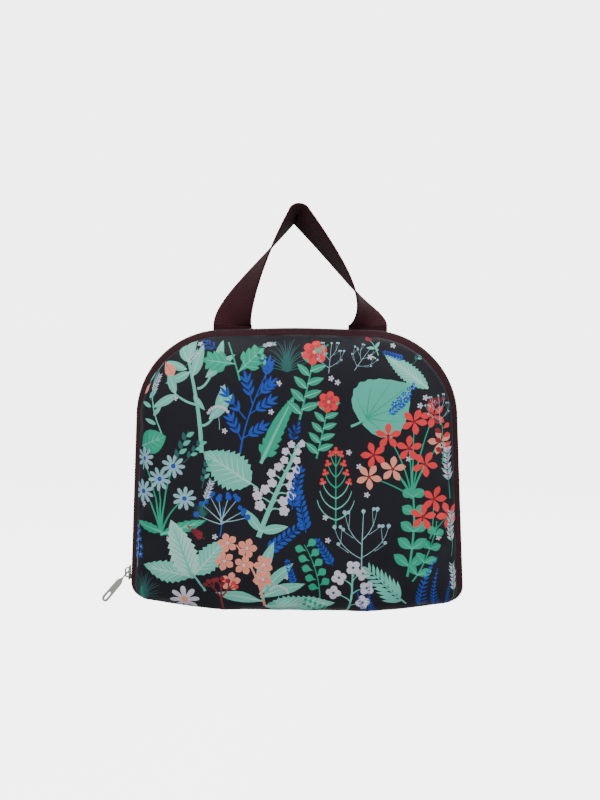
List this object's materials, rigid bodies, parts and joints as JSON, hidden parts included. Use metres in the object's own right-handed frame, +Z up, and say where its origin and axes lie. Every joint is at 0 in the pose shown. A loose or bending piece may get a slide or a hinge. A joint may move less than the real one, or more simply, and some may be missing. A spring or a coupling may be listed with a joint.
{
  "type": "hanging toiletry bag",
  "caption": "Soft zip-round toiletry pouch that opens like a book, with a webbing carry handle, inner pockets and a fold-out hanging hook.",
  "frame": {"origin": "on the ground under the middle of the bag's base", "axes": "+X to the right seen from the front, the printed front faces -Y, +Z up towards the handle"},
  "size_m": [0.2904, 0.08, 0.3213],
  "materials": {
    "print_fabric": "coated polyester with a botanical print in mint, teal, blue and coral on a near-black ground, slight sheen",
    "webbing": "ribbed polyester webbing, maroon brown",
    "zip_tape": "fine woven tape, dark brown",
    "zip_coil": "nylon coil, dark brown",
    "lining": "plain taffeta lining",
    "mesh": "open warp-knit mesh",
    "elastic": "woven elastic",
    "foam": "thin foam wadding",
    "nickel": "nickel plate, lightly worn",
    "hook_plastic": "moulded plastic, satin black"
  },
  "bodies": {
    "back_half": {"back_panel": "print_fabric", "back_gusset": "print_fabric", "base_panel": "print_fabric", "hinge_binding": "zip_tape", "gusset_foam": "foam", "back_foam": "foam", "back_lining": "lining", "back_binding": "zip_tape", "back_zip_tape": "zip_tape", "back_coil": "zip_coil", "back_zip_stop": "nickel", "zip_end_tabs": "zip_tape", "handle_ends": "webbing", "slip_pocket_mesh": "mesh", "slip_pocket_elastic": "elastic", "bottle_elastic": "elastic", "hook_tab": "webbing"},
    "lid": {"front_panel": "print_fabric", "lid_base_flap": "print_fabric", "front_foam": "foam", "front_lining": "lining", "lid_binding": "zip_tape", "lid_zip_tape": "zip_tape", "lid_coil": "zip_coil", "lid_zip_stop": "nickel", "pocket_mesh": "mesh", "pocket_yoke": "lining", "pocket_tape_lower": "zip_tape", "pocket_tape_upper": "zip_tape", "pocket_coil": "zip_coil"},
    "zip_slider": {"slider_body": "nickel", "slider_crown": "nickel", "slider_spring": "nickel"},
    "zip_pull": {"pull_tab": "nickel"},
    "handle": {"handle": "webbing"},
    "hook": {"hook": "hook_plastic"},
    "pocket_slider": {"pocket_slider_body": "nickel", "pocket_slider_crown": "nickel"},
    "pocket_pull": {"pocket_pull_tab": "nickel"}
  },
  "joints": [
    {"name": "lid_open", "type": "hinge", "parent": "back_half", "child": "lid", "pos_m": [0, -0.016, -0.00025], "axis": [1, 0, 0], "range_deg": [0, 180]},
    {"name": "zip_slide", "type": "slide", "parent": "back_half", "child": "zip_slider", "axis": [0.0422, 0, 0.9991], "range_m": [0, 0.12]},
    {"name": "zip_pull_turn", "type": "hinge", "parent": "zip_slider", "child": "zip_pull", "pos_m": [-0.13579, -0.016, 0.02711], "axis": [0, 1, 0], "range_deg": [-24, 128]},
    {"name": "handle_swing", "type": "hinge", "parent": "back_half", "child": "handle", "pos_m": [0, -0.007, 0.2248], "axis": [1, 0, 0], "range_deg": [-50, 25]},
    {"name": "hook_fold", "type": "hinge", "parent": "back_half", "child": "hook", "pos_m": [0, -0.018, 0.208], "axis": [-1, 0, 0], "range_deg": [0, 180]},
    {"name": "pocket_slide", "type": "slide", "parent": "lid", "child": "pocket_slider", "axis": [-1, 0, 0], "range_m": [0, 0.176]},
    {"name": "pocket_pull_turn", "type": "hinge", "parent": "pocket_slider", "child": "pocket_pull", "pos_m": [0.088, -0.0202, 0.138], "axis": [0, 0, -1], "range_deg": [-7, 160]}
  ],
  "couplings": [
    {"joint": "hook_fold", "follows": "lid_open", "ratio": 1}
  ]
}
